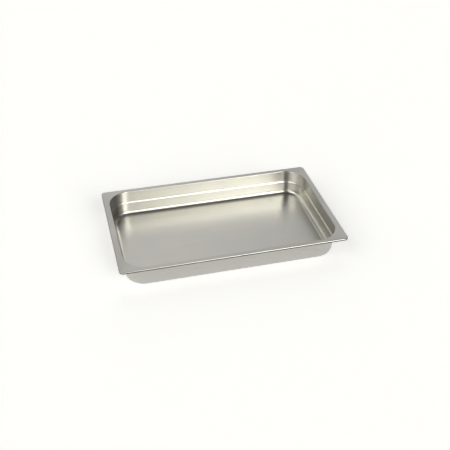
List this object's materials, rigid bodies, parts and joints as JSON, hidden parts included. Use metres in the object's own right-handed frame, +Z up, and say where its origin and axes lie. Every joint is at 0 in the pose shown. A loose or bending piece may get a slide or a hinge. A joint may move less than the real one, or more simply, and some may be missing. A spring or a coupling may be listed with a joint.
{
  "type": "gastronorm food pan",
  "caption": "Shallow pressed steel food pan with a flat turned-down rim and a stacking shoulder, for holding and displaying food in a counter well.",
  "frame": {"origin": "centre of the flat underside, on the surface that the pan stands on", "axes": "+X along the pan's length, +Y across its width, +Z up out of the mouth"},
  "size_m": [0.53, 0.325, 0.0615],
  "materials": {
    "steel": "satin stainless steel with a fine rolled grain"
  },
  "bodies": {
    "root": {"pan": "steel"}
  },
  "joints": []
}
